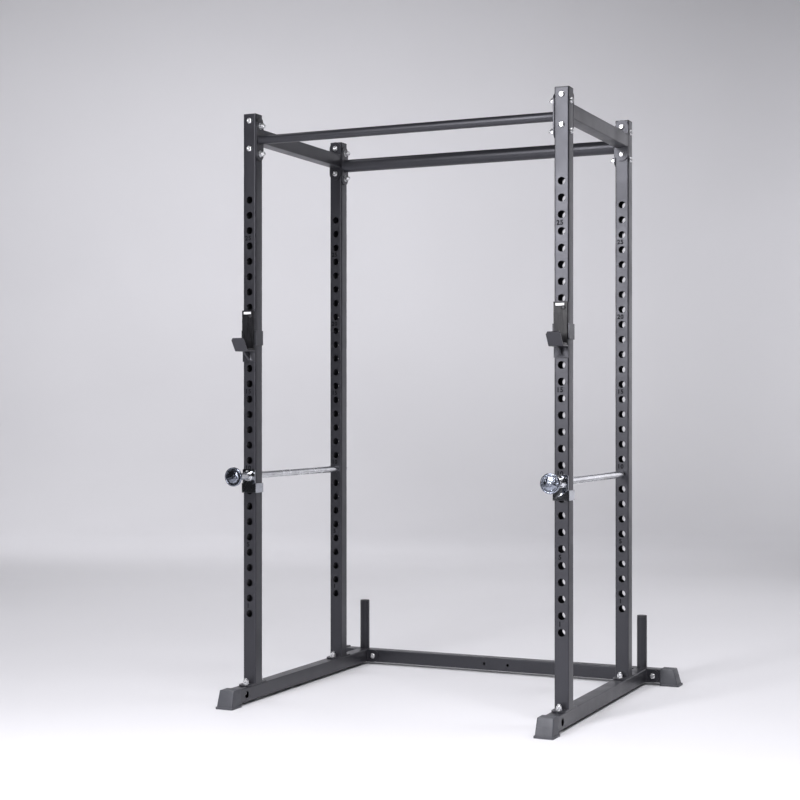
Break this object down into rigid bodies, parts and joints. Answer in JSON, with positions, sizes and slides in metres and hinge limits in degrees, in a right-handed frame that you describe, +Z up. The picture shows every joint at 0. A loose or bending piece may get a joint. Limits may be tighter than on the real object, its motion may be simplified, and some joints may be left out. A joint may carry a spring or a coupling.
{
  "type": "power cage",
  "caption": "Bolted steel lifting cage with perforated posts, two pull-up bars, hook-on bar cups, pull-out safety rods and storage pegs on a low base.",
  "frame": {"origin": "on the floor, in the middle of the outer box of the cage", "axes": "+Z up, the lifter walks in from -Y, +X to the right of someone looking into the cage from the front"},
  "size_m": [1.48, 1.177, 2.11],
  "materials": {
    "charcoal_coat": "satin, fine texture",
    "foot_plastic": "matte",
    "cap_plastic": "matte",
    "liner_plastic": "gloss",
    "black_screws": "black oxide",
    "zinc_fasteners": "bright zinc plate",
    "chrome_plate": "polished"
  },
  "bodies": {
    "frame": {"runner_left": "charcoal_coat", "runner_right": "charcoal_coat", "rear_crossmember": "charcoal_coat", "runner_end_plate_left": "charcoal_coat", "runner_end_plate_right": "charcoal_coat", "upright_front_left": "charcoal_coat", "upright_front_right": "charcoal_coat", "upright_rear_left": "charcoal_coat", "upright_rear_right": "charcoal_coat", "foot_plate_front_left": "charcoal_coat", "foot_plate_front_right": "charcoal_coat", "foot_plate_rear_left": "charcoal_coat", "foot_plate_rear_right": "charcoal_coat", "top_beam_left": "charcoal_coat", "top_beam_right": "charcoal_coat", "pull_up_bar_front": "charcoal_coat", "pull_up_bar_rear": "charcoal_coat", "upright_cap_front_left": "cap_plastic", "upright_cap_front_right": "cap_plastic", "upright_cap_rear_left": "cap_plastic", "upright_cap_rear_right": "cap_plastic", "foot_front_left": "foot_plastic", "foot_front_right": "foot_plastic", "foot_rear_left": "foot_plastic", "foot_rear_right": "foot_plastic", "storage_peg_left": "charcoal_coat", "storage_peg_right": "charcoal_coat", "peg_cap_left": "cap_plastic", "peg_cap_right": "cap_plastic", "beam_bolts": "zinc_fasteners", "beam_washers": "zinc_fasteners", "beam_nuts": "zinc_fasteners", "bar_bolts": "zinc_fasteners", "bar_washers": "zinc_fasteners", "bar_nuts": "zinc_fasteners", "post_bolts": "zinc_fasteners", "post_washers": "zinc_fasteners", "post_nuts": "zinc_fasteners", "runner_bolts": "zinc_fasteners", "runner_washers": "zinc_fasteners", "runner_nuts": "zinc_fasteners"},
    "bar_cup_left_body": {"bar_cup_left": "charcoal_coat", "cup_liner_left": "liner_plastic", "cup_screw_left": "black_screws"},
    "safety_rod_left_body": {"safety_rod_left": "chrome_plate", "rod_knob_left": "chrome_plate", "rod_collar_left": "chrome_plate", "rod_lock_left": "chrome_plate"},
    "bar_cup_right_body": {"bar_cup_right": "charcoal_coat", "cup_liner_right": "liner_plastic", "cup_screw_right": "black_screws"},
    "safety_rod_right_body": {"safety_rod_right": "chrome_plate", "rod_knob_right": "chrome_plate", "rod_collar_right": "chrome_plate", "rod_lock_right": "chrome_plate"}
  },
  "joints": [
    {"name": "bar_cup_left_pull", "type": "slide", "parent": "frame", "child": "bar_cup_left_body", "axis": [0, -1, 0], "range_m": [0, 0.12]},
    {"name": "safety_rod_left_pull", "type": "slide", "parent": "frame", "child": "safety_rod_left_body", "axis": [0, -1, 0], "range_m": [0, 0.8]},
    {"name": "bar_cup_right_pull", "type": "slide", "parent": "frame", "child": "bar_cup_right_body", "axis": [0, -1, 0], "range_m": [0, 0.12]},
    {"name": "safety_rod_right_pull", "type": "slide", "parent": "frame", "child": "safety_rod_right_body", "axis": [0, -1, 0], "range_m": [0, 0.8]}
  ]
}
